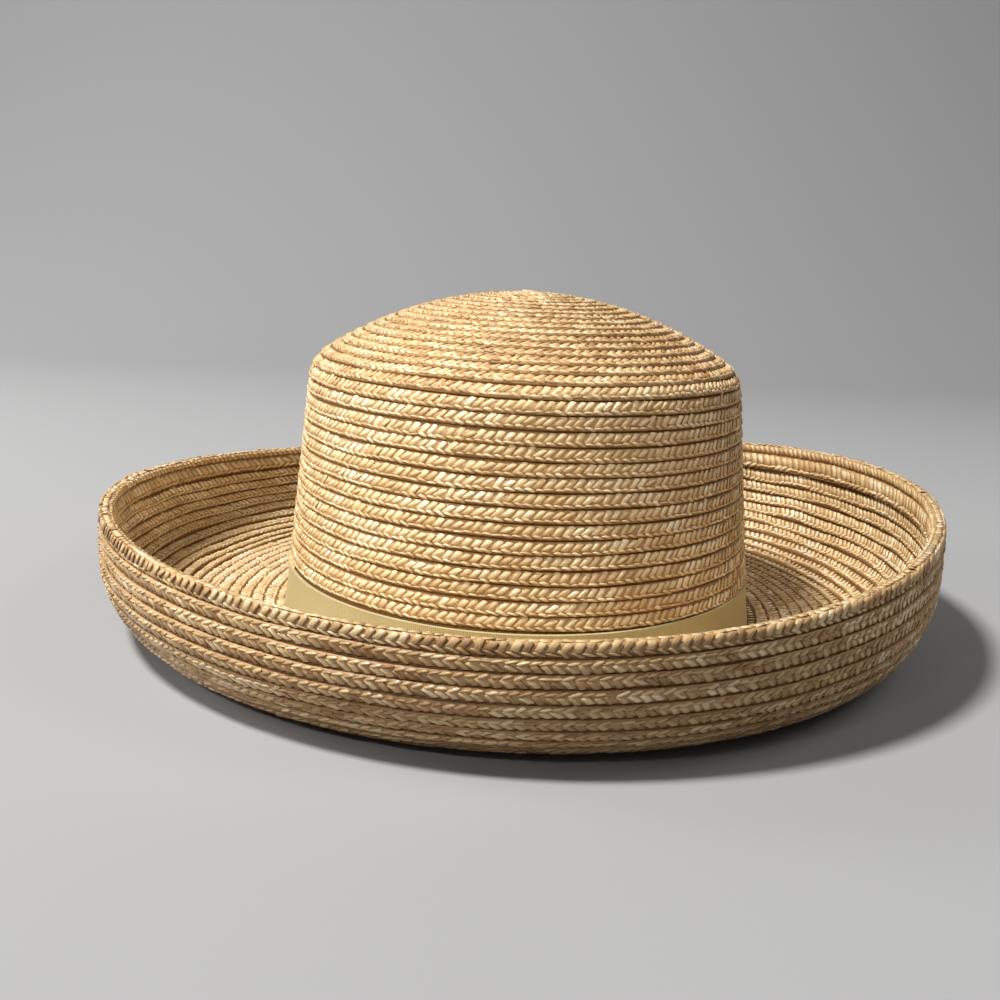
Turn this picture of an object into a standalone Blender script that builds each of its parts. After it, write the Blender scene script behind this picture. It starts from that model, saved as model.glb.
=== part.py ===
"""A straw hat of sewn braid: a domed crown, and a brim that is rolled up all round.

It stands on the underside of its brim, with its front towards -Y. The long way of the head runs
front to back, along Y. The origin is on the floor, under the middle of the crown. Sizes are metres.

The braid is one long strip, sewn round and round so that each turn, a row, overlaps the last.
Here each row is a ring with one edge that stands proud, the lip, and a root where the next begins.
"""

import math

import bmesh
import bpy

# The crown, measured on its outside
CROWN_HALF_WIDTH = 0.0860
CROWN_HALF_DEPTH = 0.1040
CROWN_HEIGHT = 0.1195
BASE_FLARE = 0.0020
SIDE_LEAN = math.radians(6.0)
SHOULDER_RADIUS = 0.0125
DOME_RADIUS = 0.160

# The brim, measured on its outside
BRIM_WIDTH = 0.0660
ROLL_INSET = 0.0275
ROLL_POWER = 2.0
ROLL_EASE = 0.0120
RIM_HEIGHT = 0.0427
ROLL_HEIGHT = 0.0278
# How high up the outside, at least, the floor's piece meets the roll's, and the roll's the wall's
FLOOR_SEAM_HEIGHT = 0.0035
WALL_SEAM_HEIGHT = 0.0150

# The rim's rise and fall: waves round the rim, direction of the first crest in degrees, and the
# crest's height as a share of RIM_HEIGHT
RIM_WAVES = (
    (1, 4.0, 0.110),
    (2, 12.0, 0.119),
)

# The braid
STRAW_WALL = 0.0018
ROW_PITCH = 0.00475
ROW_LIP = 0.0007
ROW_GROOVE = 0.0006

# The facing inside the rim
FACING_ROWS = 2
FACING_WIDTH = 0.0095
FACING_THICKNESS = 0.0011
FACING_RISE = 0.0005

# The ribbon
BAND_TOP = 0.0188
BAND_THICKNESS = 0.0008

# The room between pieces that touch
GAP = 0.0003

# Points round a ring, halved near the middle of the dome
RING_POINTS = 36
COARSE_SHARE = 0.55
CURVE_STEPS = 80
FLARE_STEPS = 8
INSIDE_STEP = 0.0125
BAND_SHARES = (0.0, 0.33, 0.67, 1.0)

STRAW_COLOUR = (0.60, 0.40, 0.19)
STRAW_ROUGHNESS = 0.45
RIBBON_COLOUR = (0.46, 0.36, 0.14)
RIBBON_ROUGHNESS = 0.6

MEAN_HALF_SIZE = (CROWN_HALF_WIDTH + CROWN_HALF_DEPTH) / 2
SHARP_ANGLE = math.radians(50)


class Curve:
    """A section line of (out, up) points, read by the distance along it."""

    def __init__(self, points):
        self.points = points
        self.distances = [0.0]
        for start, end in zip(points, points[1:]):
            self.distances.append(self.distances[-1] + math.dist(start, end))
        self.length = self.distances[-1]

    def at(self, distance):
        """The point at a distance, and the direction square to the line there, on its right."""
        distance = min(max(distance, 0.0), self.length)
        index = 1
        while index < len(self.points) - 1 and self.distances[index] < distance:
            index += 1
        start, end = self.points[index - 1], self.points[index]
        step = self.distances[index] - self.distances[index - 1]
        share = (distance - self.distances[index - 1]) / step
        out = start[0] + (end[0] - start[0]) * share
        up = start[1] + (end[1] - start[1]) * share
        return out, up, (end[1] - start[1]) / step, (start[0] - end[0]) / step

    def beside(self, distance, offset):
        """The point at a distance along the line and an offset to its right."""
        out, up, right_out, right_up = self.at(distance)
        return out + offset * right_out, up + offset * right_up

    def level_beside(self, offset):
        """The line's first point, moved sideways by an offset and kept at its height."""
        out, up = self.points[0]
        return out + offset, up

    def distance_at_height(self, height):
        """How far along the line it first reaches a height."""
        for distance, point in zip(self.distances, self.points):
            if point[1] >= height:
                return distance
        return self.length


def arc(centre, radius, start, end, steps):
    """Points on an arc of a section line, without its first."""
    turns = [start + (end - start) * step / steps for step in range(1, steps + 1)]
    return [(centre[0] + radius * math.cos(turn), centre[1] + radius * math.sin(turn)) for turn in turns]


def crown_curve():
    """The crown's outside from its foot to the middle of the dome, out being a mean half size.

    Above the ribbon it is a leaning side, a shoulder arc and the dome's arc, each smooth to the next.
    """
    foot = STRAW_WALL + GAP
    points = []
    for step in range(FLARE_STEPS):
        share = step / FLARE_STEPS
        flare = BASE_FLARE * (1 - share) ** 2
        points.append((MEAN_HALF_SIZE + flare, foot + (BAND_TOP - foot) * share))
    points.append((MEAN_HALF_SIZE, BAND_TOP))
    along = (-math.sin(SIDE_LEAN), math.cos(SIDE_LEAN))
    inward = (-along[1], along[0])
    dome_centre = (0.0, CROWN_HEIGHT - DOME_RADIUS)
    # The shoulder's centre slides along the side until its arc touches the dome's from inside
    from_dome = (
        MEAN_HALF_SIZE + inward[0] * SHOULDER_RADIUS - dome_centre[0],
        BAND_TOP + inward[1] * SHOULDER_RADIUS - dome_centre[1],
    )
    ahead = from_dome[0] * along[0] + from_dome[1] * along[1]
    spare = from_dome[0] ** 2 + from_dome[1] ** 2 - (DOME_RADIUS - SHOULDER_RADIUS) ** 2
    slide = -ahead + math.sqrt(ahead**2 - spare)
    to_shoulder = (from_dome[0] + along[0] * slide, from_dome[1] + along[1] * slide)
    shoulder = (dome_centre[0] + to_shoulder[0], dome_centre[1] + to_shoulder[1])
    meeting = math.atan2(to_shoulder[1], to_shoulder[0])
    points.append((shoulder[0] - inward[0] * SHOULDER_RADIUS, shoulder[1] - inward[1] * SHOULDER_RADIUS))
    points += arc(shoulder, SHOULDER_RADIUS, SIDE_LEAN, meeting, CURVE_STEPS)
    points += arc(dome_centre, DOME_RADIUS, meeting, math.pi / 2, CURVE_STEPS)
    return Curve(points)


def brim_curve():
    """The brim's underside and the wall's outside, from the head hole to the rim.

    Here out is how far the point lies outside the crown's oval. The first stretch is the flat floor,
    then comes the roll, and from ROLL_HEIGHT on the wall stands upright.
    """
    lift_off = BRIM_WIDTH - ROLL_INSET
    points = [(BASE_FLARE - STRAW_WALL, 0.0)]
    for step in range(CURVE_STEPS + 1):
        turn = math.pi / 2 * step / CURVE_STEPS
        out = lift_off + ROLL_INSET * math.sin(turn) ** (2 / ROLL_POWER)
        up = ROLL_HEIGHT * (1 - max(math.cos(turn), 0.0) ** (2 / ROLL_POWER))
        points.append((out, up))
    points.append((BRIM_WIDTH, RIM_HEIGHT))
    return Curve(points)


def rim_lift(angle):
    """How much higher than its mean the rim stands at an angle round the hat, as a share."""
    return sum(
        share * math.cos(waves * (angle - math.radians(crest))) for waves, crest, share in RIM_WAVES
    )


def ring_angles(count):
    return [2 * math.pi * index / count for index in range(count)]


def crown_ring(mesh, out, up):
    """A ring that keeps the crown's oval, with fewer points near the middle of the dome."""
    share = out / MEAN_HALF_SIZE
    width, depth = CROWN_HALF_WIDTH * share, CROWN_HALF_DEPTH * share
    count = RING_POINTS if share > COARSE_SHARE else RING_POINTS // 2
    points = [(width * math.cos(angle), depth * math.sin(angle), up) for angle in ring_angles(count)]
    return [mesh.verts.new(point) for point in points]


def brim_ring(mesh, out, up, rise):
    """A ring outside the crown's oval, which follows the rim's waves by its share of the rise."""
    ring = []
    for angle in ring_angles(RING_POINTS):
        across = (CROWN_HALF_WIDTH + out) * math.cos(angle)
        along = (CROWN_HALF_DEPTH + out) * math.sin(angle)
        ring.append(mesh.verts.new((across, along, up * (1 + rim_lift(angle) * rise))))
    return ring


def join_rings(mesh, first, second):
    """Faces between two rings, of as many points, of half as many, or of one point, a pole."""
    if len(first) < len(second):
        first, second = second, first
    count = len(first)
    for index in range(count):
        here, there = first[index], first[(index + 1) % count]
        if len(second) == 1:
            mesh.faces.new((here, there, second[0]))
        elif len(second) == count:
            mesh.faces.new((here, there, second[(index + 1) % count], second[index]))
        elif index % 2 == 0:
            mesh.faces.new((here, there, second[index // 2]))
        else:
            half = count // 2
            near, far = second[index // 2], second[(index // 2 + 1) % half]
            mesh.faces.new((here, there, far))
            mesh.faces.new((here, far, near))


def finish_piece(name, mesh, rings, root, colour, roughness):
    """Closes the skin through its rings, last to first, and makes it an object with its material."""
    for first, second in zip(rings, rings[1:] + rings[:1]):
        if len(first) > 1 or len(second) > 1:
            join_rings(mesh, first, second)
    bmesh.ops.recalc_face_normals(mesh, faces=mesh.faces)
    data = bpy.data.meshes.new(name)
    mesh.to_mesh(data)
    mesh.free()
    data.shade_smooth()
    data.set_sharp_from_angle(angle=SHARP_ANGLE)
    material = bpy.data.materials.new(name)
    material.use_nodes = True
    shader = material.node_tree.nodes["Principled BSDF"]
    shader.inputs["Base Color"].default_value = (*colour, 1.0)
    shader.inputs["Roughness"].default_value = roughness
    shader.inputs["Metallic"].default_value = 0.0
    data.materials.append(material)
    piece = bpy.data.objects.new(name, data)
    bpy.context.scene.collection.objects.link(piece)
    piece.parent = root


def crown_rows(curve):
    """Where the first row above the ribbon starts, and how many rows the crown's side has."""
    first_row = curve.distance_at_height(BAND_TOP) + ROW_GROOVE
    shoulder = curve.distances[FLARE_STEPS + 1]
    return first_row, int((shoulder - first_row) / ROW_PITCH)


def row_rings(mesh, curve, first_row, rows):
    """Crown rows that follow each other up the outside, each with its lip below."""
    rings = []
    for row in range(rows):
        lower = first_row + row * ROW_PITCH
        rings.append(crown_ring(mesh, *curve.beside(lower, ROW_LIP)))
        rings.append(crown_ring(mesh, *curve.beside(lower + ROW_PITCH - ROW_GROOVE, 0.0)))
    return rings


def inside_rings(mesh, curve, start, end):
    """Plain rings on the crown's inside, from one distance to a lower one, with both ends."""
    steps = math.ceil((start - end) / INSIDE_STEP)
    distances = [start + (end - start) * step / steps for step in range(steps + 1)]
    return [crown_ring(mesh, *curve.beside(distance, -STRAW_WALL)) for distance in distances]


def make_crown_side(root):
    """The crown's side: plain behind the ribbon, rows above it, and a plain inside."""
    mesh = bmesh.new()
    curve = crown_curve()
    first_row, rows = crown_rows(curve)
    band_top = curve.distance_at_height(BAND_TOP)
    rings = [crown_ring(mesh, *curve.beside(band_top * share, 0.0)) for share in BAND_SHARES]
    rings += row_rings(mesh, curve, first_row, rows)
    top = first_row + rows * ROW_PITCH - ROW_GROOVE
    rings += inside_rings(mesh, curve, top, band_top)
    rings.append(crown_ring(mesh, *curve.level_beside(-STRAW_WALL)))
    finish_piece("crown_side", mesh, rings, root, STRAW_COLOUR, STRAW_ROUGHNESS)


def make_crown_tip(root):
    """The crown's tip: the shoulder and the dome, which meet the side along a row line."""
    mesh = bmesh.new()
    curve = crown_curve()
    first_row, side_rows = crown_rows(curve)
    first_row += side_rows * ROW_PITCH
    rings = row_rings(mesh, curve, first_row, int((curve.length - first_row) / ROW_PITCH))
    rings.append([mesh.verts.new((0.0, 0.0, CROWN_HEIGHT))])
    rings.append([mesh.verts.new((0.0, 0.0, CROWN_HEIGHT - STRAW_WALL))])
    rings += inside_rings(mesh, curve, curve.length - INSIDE_STEP, first_row - ROW_GROOVE + GAP)
    finish_piece("crown_tip", mesh, rings, root, STRAW_COLOUR, STRAW_ROUGHNESS)


def brim_ring_beside(mesh, curve, distance, offset):
    """A ring beside the brim's curve, which takes on the rim's waves just past the flat floor."""
    rise = min(max((distance - curve.distances[1]) / ROLL_EASE, 0.0), 1.0)
    return brim_ring(mesh, *curve.beside(distance, offset), rise * rise * (3 - 2 * rise))


def outside_rows(mesh, curve, first_row, rows):
    """Brim rows that follow each other up the outside, each with its lip above."""
    rings = []
    for row in range(rows):
        lower = first_row + row * ROW_PITCH
        rings.append(brim_ring_beside(mesh, curve, lower + ROW_GROOVE, 0.0))
        rings.append(brim_ring_beside(mesh, curve, lower + ROW_PITCH, ROW_LIP))
    return rings


def inside_rows(mesh, curve, first_row, rows):
    """Brim rows that follow each other down the inside, each with its lip below."""
    rings = []
    for row in range(rows):
        upper = first_row - row * ROW_PITCH
        rings.append(brim_ring_beside(mesh, curve, upper - ROW_GROOVE, -STRAW_WALL))
        rings.append(brim_ring_beside(mesh, curve, upper - ROW_PITCH, -STRAW_WALL - ROW_LIP))
    return rings


def rows_above(curve, height):
    """How many brim rows lie above a height, on the outside, and on the inside below the facing."""
    outside = int((curve.length - curve.distance_at_height(height)) / ROW_PITCH)
    return outside, outside - math.ceil(FACING_WIDTH / ROW_PITCH)


def brim_seam(curve, height):
    """Distances of the row line just above a height, on the outside and on the inside."""
    outside, inside = rows_above(curve, height)
    return (
        curve.length - outside * ROW_PITCH,
        curve.length - FACING_WIDTH - ROW_GROOVE - inside * ROW_PITCH,
    )


def make_brim_floor(root):
    """The brim's floor: plain below, rows above, and the start of the roll with rows on both sides."""
    mesh = bmesh.new()
    curve = brim_curve()
    outside_seam, inside_seam = brim_seam(curve, FLOOR_SEAM_HEIGHT)
    rows = int((outside_seam - curve.distance_at_height(ROW_LIP * 2)) / ROW_PITCH)
    band_edge = BASE_FLARE + GAP + BAND_THICKNESS + GAP
    floor_start = band_edge - curve.points[0][0]
    rings = [brim_ring_beside(mesh, curve, distance, 0.0) for distance in (0.0, curve.distances[1])]
    rings += outside_rows(mesh, curve, outside_seam - rows * ROW_PITCH, rows)
    rings.append(brim_ring_beside(mesh, curve, outside_seam + ROW_GROOVE - GAP, 0.0))
    rings += inside_rows(mesh, curve, inside_seam, int((inside_seam - floor_start) / ROW_PITCH))
    rings += [brim_ring_beside(mesh, curve, distance, -STRAW_WALL) for distance in (floor_start, 0.0)]
    finish_piece("brim_floor", mesh, rings, root, STRAW_COLOUR, STRAW_ROUGHNESS)


def make_brim_roll(root):
    """The brim's roll, between floor and wall, with rows on both sides."""
    mesh = bmesh.new()
    curve = brim_curve()
    outside_start, _ = brim_seam(curve, FLOOR_SEAM_HEIGHT)
    outside_end, inside_start = brim_seam(curve, WALL_SEAM_HEIGHT)
    rows = rows_above(curve, FLOOR_SEAM_HEIGHT)[0] - rows_above(curve, WALL_SEAM_HEIGHT)[0]
    rings = outside_rows(mesh, curve, outside_start, rows)
    rings.append(brim_ring_beside(mesh, curve, outside_end + ROW_GROOVE - GAP, 0.0))
    rings += inside_rows(mesh, curve, inside_start, rows)
    finish_piece("brim_roll", mesh, rings, root, STRAW_COLOUR, STRAW_ROUGHNESS)


def make_brim_wall(root):
    """The brim's upright wall: rows on both sides, and plain behind the facing."""
    mesh = bmesh.new()
    curve = brim_curve()
    outside, inside = rows_above(curve, WALL_SEAM_HEIGHT)
    rings = outside_rows(mesh, curve, curve.length - outside * ROW_PITCH, outside)
    for share in (0.0, 0.5, 1.0):
        rings.append(brim_ring_beside(mesh, curve, curve.length - FACING_WIDTH * share, -STRAW_WALL))
    rings += inside_rows(mesh, curve, curve.length - FACING_WIDTH - ROW_GROOVE, inside)
    finish_piece("brim_wall", mesh, rings, root, STRAW_COLOUR, STRAW_ROUGHNESS)


def make_facing(root):
    """The facing: two rows of braid against the inside of the wall, up to just over the rim."""
    mesh = bmesh.new()
    curve = brim_curve()
    back = -STRAW_WALL - GAP
    front = back - FACING_THICKNESS
    rings = []
    for share in (0.0, 0.5, 1.0):
        out, up = curve.beside(curve.length - FACING_WIDTH * (1 - share), back)
        rings.append(brim_ring(mesh, out, up + FACING_RISE * share, 1.0))
    out, up = curve.beside(curve.length, front)
    rings.append(brim_ring(mesh, out, up + FACING_RISE, 1.0))
    pitch = FACING_WIDTH / FACING_ROWS
    for row in range(FACING_ROWS):
        upper = curve.length - pitch * row
        if row > 0:
            rings.append(brim_ring(mesh, *curve.beside(upper - ROW_GROOVE, front), 1.0))
        rings.append(brim_ring(mesh, *curve.beside(upper - pitch, front - ROW_LIP), 1.0))
    finish_piece("rim_facing", mesh, rings, root, STRAW_COLOUR, STRAW_ROUGHNESS)


def make_band(root):
    """The ribbon: a closed loop against the foot of the crown, standing on the brim."""
    mesh = bmesh.new()
    curve = crown_curve()
    top = curve.distance_at_height(BAND_TOP)
    back, front = GAP, GAP + BAND_THICKNESS
    rings = [crown_ring(mesh, *curve.level_beside(back))]
    rings += [crown_ring(mesh, *curve.beside(top * share, back)) for share in BAND_SHARES[1:]]
    rings += [crown_ring(mesh, *curve.beside(top * share, front)) for share in BAND_SHARES[:0:-1]]
    rings.append(crown_ring(mesh, *curve.level_beside(front)))
    finish_piece("hat_band", mesh, rings, root, RIBBON_COLOUR, RIBBON_ROUGHNESS)


def main():
    for old in list(bpy.data.objects):
        bpy.data.objects.remove(old, do_unlink=True)
    root = bpy.data.objects.new("straw_hat", None)
    bpy.context.scene.collection.objects.link(root)
    make_crown_side(root)
    make_crown_tip(root)
    make_brim_floor(root)
    make_brim_roll(root)
    make_brim_wall(root)
    make_facing(root)
    make_band(root)


main()
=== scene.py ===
# %% [markdown]
# # A straw hat with a rolled-up brim
#
# The hat is one long strip of plaited straw. A hatter starts it at the middle of the dome and sews it
# round and round, each turn a little over the last, down the crown, out along the brim and up its wall.
# The lesson follows the hatter: section lines first, then a thin straw shell, then the strands of the
# braid, which are modelled once and laid in rows. Ribbon, light and camera come last.

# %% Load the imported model
import math

import bpy
import numpy as np
from mathutils import Matrix, Vector


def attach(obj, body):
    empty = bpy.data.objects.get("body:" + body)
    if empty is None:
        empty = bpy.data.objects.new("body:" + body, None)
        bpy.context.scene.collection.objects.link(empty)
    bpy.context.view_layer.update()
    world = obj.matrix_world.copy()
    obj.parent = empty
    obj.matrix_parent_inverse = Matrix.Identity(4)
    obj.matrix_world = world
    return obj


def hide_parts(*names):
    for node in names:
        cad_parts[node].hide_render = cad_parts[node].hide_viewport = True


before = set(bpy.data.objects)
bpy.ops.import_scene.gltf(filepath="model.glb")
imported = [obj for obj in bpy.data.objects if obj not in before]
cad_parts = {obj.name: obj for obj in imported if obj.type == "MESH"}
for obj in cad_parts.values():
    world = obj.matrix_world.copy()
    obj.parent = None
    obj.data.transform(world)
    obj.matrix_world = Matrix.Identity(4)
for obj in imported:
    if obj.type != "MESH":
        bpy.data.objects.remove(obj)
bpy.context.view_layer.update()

MM = 0.001
print("CAD nodes:", ", ".join(sorted(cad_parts)))

# %% [markdown]
# ## Sizes
#
# These are the sizes of the solid model, in metres, so that each piece lies where its solid lies. The
# crown's are half sizes of its oval, the brim's are measured from that oval outwards. Only the crown's
# height is 1.2 mm less than the solid's, because the strands on the dome stand that much proud.

# %% Sizes of the hat
CROWN_HALF_WIDTH = 0.0860
CROWN_HALF_DEPTH = 0.1040
CROWN_HEIGHT = 0.1183
BASE_FLARE = 0.0020
SIDE_LEAN = math.radians(6.0)
SHOULDER_RADIUS = 0.0125
DOME_RADIUS = 0.160
BRIM_WIDTH = 0.0660
ROLL_INSET = 0.0275
ROLL_POWER = 2.0
ROLL_EASE = 0.0120
RIM_HEIGHT = 0.0427
ROLL_HEIGHT = 0.0278
RIM_WAVES = ((1, 4.0, 0.110), (2, 12.0, 0.119))
STRAW_WALL = 0.0018
ROW_PITCH = 0.00475
FACING_WIDTH = 0.0095
BAND_TOP = 0.0188
BAND_THICKNESS = 0.0008
GAP = 0.0003
MEAN_HALF_SIZE = (CROWN_HALF_WIDTH + CROWN_HALF_DEPTH) / 2
PAST_RIM = 1.5 * MM
CURVE_STEPS = 80
STRAIGHT_POINTS = 9
SIDE_POINTS = STRAIGHT_POINTS + 1
print(f"crown {2 * CROWN_HALF_WIDTH:.3f} x {2 * CROWN_HALF_DEPTH:.3f} m, row pitch {ROW_PITCH / MM:.2f} mm")

# %% [markdown]
# ## Section lines
#
# A hat is a section line carried round the head. The line could be a Blender curve, but a list of
# points is easier to read by distance, and the rows of a braid are spaced by distance. Each line keeps
# its points, the distance to each, and the direction that points out of the straw on its right.


# %% Section lines of crown and brim
def section(points):
    points = np.array(points)
    steps = np.hypot(*np.diff(points, axis=0).T)
    distance = np.concatenate([[0.0], np.cumsum(steps)])
    along = np.gradient(points, distance, axis=0)
    along /= np.hypot(*along.T)[:, None]
    return {"distance": distance, "length": distance[-1], "point": points,
            "right": np.stack([along[:, 1], -along[:, 0]], 1)}


def beside(line, distance, lift):
    """Out and up of the points at distances along a section line, lifted off its right side."""
    out, up = (np.interp(distance, line["distance"], line["point"][:, axis]) for axis in (0, 1))
    right_out, right_up = (np.interp(distance, line["distance"], line["right"][:, axis]) for axis in (0, 1))
    return out + right_out * lift, up + right_up * lift


def arc(centre, radius, start, end):
    turns = np.linspace(start, end, CURVE_STEPS + 1)[1:]
    return list(zip(centre[0] + radius * np.cos(turns), centre[1] + radius * np.sin(turns)))


def crown_points():
    """The flare behind the ribbon, the leaning side, the shoulder's arc and the dome's."""
    foot = STRAW_WALL + GAP
    shares = np.linspace(0, 1, STRAIGHT_POINTS)
    points = list(zip(MEAN_HALF_SIZE + BASE_FLARE * (1 - shares) ** 2, foot + (BAND_TOP - foot) * shares))
    along = np.array([-math.sin(SIDE_LEAN), math.cos(SIDE_LEAN)])
    inward = np.array([-along[1], along[0]])
    dome_centre = np.array([0.0, CROWN_HEIGHT - DOME_RADIUS])
    from_dome = np.array([MEAN_HALF_SIZE, BAND_TOP]) + inward * SHOULDER_RADIUS - dome_centre
    ahead = from_dome @ along
    spare = from_dome @ from_dome - (DOME_RADIUS - SHOULDER_RADIUS) ** 2
    to_shoulder = from_dome + along * (-ahead + math.sqrt(ahead**2 - spare))
    shoulder = dome_centre + to_shoulder
    meeting = math.atan2(to_shoulder[1], to_shoulder[0])
    points.append(tuple(shoulder - inward * SHOULDER_RADIUS))
    points += arc(shoulder, SHOULDER_RADIUS, SIDE_LEAN, meeting)
    return points + arc(dome_centre, DOME_RADIUS, meeting, math.pi / 2)


def brim_points():
    """The flat floor, the roll and the wall, out being counted from the crown's oval."""
    lift_off = BRIM_WIDTH - ROLL_INSET
    turns = np.linspace(0, math.pi / 2, CURVE_STEPS + 1)
    rolled = np.abs(np.cos(turns)) ** (2 / ROLL_POWER)
    points = [(BASE_FLARE - STRAW_WALL, 0.0)]
    points += zip(lift_off + ROLL_INSET * np.sin(turns) ** (2 / ROLL_POWER), ROLL_HEIGHT * (1 - rolled))
    wall_heights = np.linspace(ROLL_HEIGHT, RIM_HEIGHT + PAST_RIM, STRAIGHT_POINTS)[1:]
    points += [(BRIM_WIDTH, height) for height in wall_heights]
    return points


CROWN = section(crown_points())
BRIM = section(brim_points())
FLOOR_END = BRIM["distance"][1]
RIM = BRIM["length"] - PAST_RIM
SIDE_HEIGHTS = CROWN["point"][:SIDE_POINTS, 1]
BAND_TOP_DISTANCE = float(np.interp(BAND_TOP, SIDE_HEIGHTS, CROWN["distance"][:SIDE_POINTS]))
print(f"crown line {CROWN['length'] / MM:.1f} mm, brim line {RIM / MM:.1f} mm")

# %% [markdown]
# ## From a round hat to this one
#
# The hatter presses the sewn hat on an oval wooden block, and the rim ends up a little wavy. The two
# functions here are that block: they turn a turn round the hat, a distance along the section and a
# lift off the surface into a place. Everything made of straw goes through them, so all of it fits.


# %% The block
def smooth_step(share):
    share = np.clip(share, 0, 1)
    return share * share * (3 - 2 * share)


def on_crown(turn, distance, lift):
    out, up = beside(CROWN, distance, lift)
    share = out / MEAN_HALF_SIZE
    return np.stack([CROWN_HALF_WIDTH * share * np.cos(turn), CROWN_HALF_DEPTH * share * np.sin(turn),
                     up + 0 * turn], -1)


def rim_lift(turn):
    return sum(share * np.cos(waves * (turn - math.radians(crest))) for waves, crest, share in RIM_WAVES)


def on_brim(turn, distance, lift):
    out, up = beside(BRIM, distance, lift)
    rise = smooth_step((distance - FLOOR_END) / ROLL_EASE)
    return np.stack([(CROWN_HALF_WIDTH + out) * np.cos(turn), (CROWN_HALF_DEPTH + out) * np.sin(turn),
                     up * (1 + rim_lift(turn) * rise)], -1)


STRAND_SINK = 1.80 * MM
SHELL_UNDER_SINK = 0.80 * MM
UNDER_EASE = 18 * MM


def sunk_brim(depth):
    """A block whose outside is sunk under the floor, so that no strand reaches below the table."""
    def block(turn, distance, lift):
        sink = depth * (1 - smooth_step((distance - FLOOR_END) / UNDER_EASE)) * (lift > -STRAW_WALL / 2)
        return on_brim(turn, distance, lift - sink)
    return block


under_brim = sunk_brim(STRAND_SINK)


# %% [markdown]
# ## The straw shell
#
# Under the strands lies the body of the braid, a thin shell. It could be lofted from curves. Here a
# circle is extruded ring by ring along the section, as a potter raises a bowl, and then pressed on the
# block. On the brim the rings step in and out once a row, for the overlap of the sewn turns.


# %% Shell helper
def deselect_all():
    if bpy.context.object and bpy.context.object.mode != "OBJECT":
        bpy.ops.object.mode_set(mode="OBJECT")
    bpy.ops.object.select_all(action="DESELECT")


def select_vertices(piece, indices):
    bpy.ops.object.mode_set(mode="EDIT")
    bpy.ops.mesh.select_mode(type="VERT")
    bpy.ops.mesh.select_all(action="DESELECT")
    bpy.ops.object.mode_set(mode="OBJECT")
    chosen = np.zeros(len(piece.data.vertices), dtype=bool)
    chosen[indices] = True
    piece.data.vertices.foreach_set("select", chosen)
    bpy.ops.object.mode_set(mode="EDIT")


def coordinates(piece):
    flat = np.empty(len(piece.data.vertices) * 3)
    piece.data.vertices.foreach_get("co", flat)
    return flat.reshape(-1, 3)


def raise_shell(name, line, block, rings, segments, widen=0.0, looped=True, relief=None, smooth=55):
    """Extrudes a circle along (distance, lift) rings and presses it on the block.

    In a looped shell the last ring is joined to the first. Another one starts and ends in a small ring
    at the pole, and both are filled.
    """
    distances, lifts = np.array(rings).T
    outs, ups = beside(line, distances, lifts)
    radii = outs + widen
    deselect_all()
    bpy.ops.mesh.primitive_circle_add(vertices=segments, radius=radii[0])
    piece = bpy.context.object
    piece.name = piece.data.name = name
    bpy.ops.object.mode_set(mode="EDIT")
    bpy.ops.mesh.select_all(action="SELECT")
    bpy.ops.transform.translate(value=(0, 0, ups[0]))
    for after in range(1, len(rings)):
        rise = ups[after] - ups[after - 1]
        grow = radii[after] / radii[after - 1]
        bpy.ops.mesh.extrude_region_move(TRANSFORM_OT_translate={"value": (0, 0, rise)})
        bpy.ops.transform.resize(value=(grow, grow, 1), center_override=(0, 0, ups[after]))
    bpy.ops.object.mode_set(mode="OBJECT")
    total = len(piece.data.vertices)
    if looped:
        select_vertices(piece, np.r_[0:segments, total - segments:total])
        bpy.ops.mesh.bridge_edge_loops()
    else:
        for end in (0, total - segments):
            select_vertices(piece, np.arange(end, end + segments))
            bpy.ops.mesh.edge_face_add()
    bpy.ops.mesh.select_all(action="SELECT")
    bpy.ops.mesh.normals_make_consistent(inside=False)
    bpy.ops.object.mode_set(mode="OBJECT")
    round_shape = coordinates(piece)
    ring = np.arange(total) // segments
    turn = np.arctan2(round_shape[:, 1], round_shape[:, 0])
    lift = lifts[ring] + (relief(turn, ring) if relief else 0)
    piece.data.vertices.foreach_set("co", block(turn, distances[ring], lift).ravel())
    bpy.ops.object.shade_smooth_by_angle(angle=math.radians(smooth))
    piece.data.update()
    print(f"{name}: {len(rings)} rings of {segments}")
    return piece


# %% [markdown]
# The crown's shell is plain, because its rows wind in a spiral that no ring can follow. The brim's
# steps once a row on both sides. Its rows are counted from the rim, where the last one ends.

# %% Shells of crown and brim
CROWN_SEGMENTS = 96
BRIM_SEGMENTS = 128
SHELL_SINK = 0.30 * MM
POLE_RADIUS = 0.6 * MM
CROWN_RING_STEP = 4 * MM


def shell_rings_on_crown():
    count = int(CROWN["length"] / CROWN_RING_STEP)
    upwards = np.linspace(0, CROWN["length"] - POLE_RADIUS, count)
    inside = [(distance, SHELL_SINK - STRAW_WALL) for distance in upwards[::-1]]
    return inside + [(distance, -SHELL_SINK) for distance in upwards]


OUTSIDE_LEAN = 0.85 * MM
FLOOR_LEAN = 0.40 * MM
INSIDE_LEAN = 1.20 * MM
LEAN_EARLY = 6 * MM
LEAN_EASE = 22 * MM
OUTSIDE_ROWS = int(RIM / ROW_PITCH)
RIM_ROW_DROP = 1.2 * MM
INSIDE_TOP = RIM - FACING_WIDTH - 0.6 * MM
FLOOR_START = BASE_FLARE + 2 * GAP + BAND_THICKNESS
INSIDE_ROWS = int((INSIDE_TOP - FLOOR_START) / ROW_PITCH)
OUTSIDE_STEP = (0.90 * ROW_PITCH, 0.05 * ROW_PITCH)    # each step's start and lip, below its row's edge
INSIDE_STEP = (0.95 * ROW_PITCH, 0.07 * ROW_PITCH)
STEP_SINK = SHELL_SINK + 0.1 * MM
OUTSIDE_LIP_SINK = 0.55 * MM
INSIDE_LIP_SINK = 0.35 * MM
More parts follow.
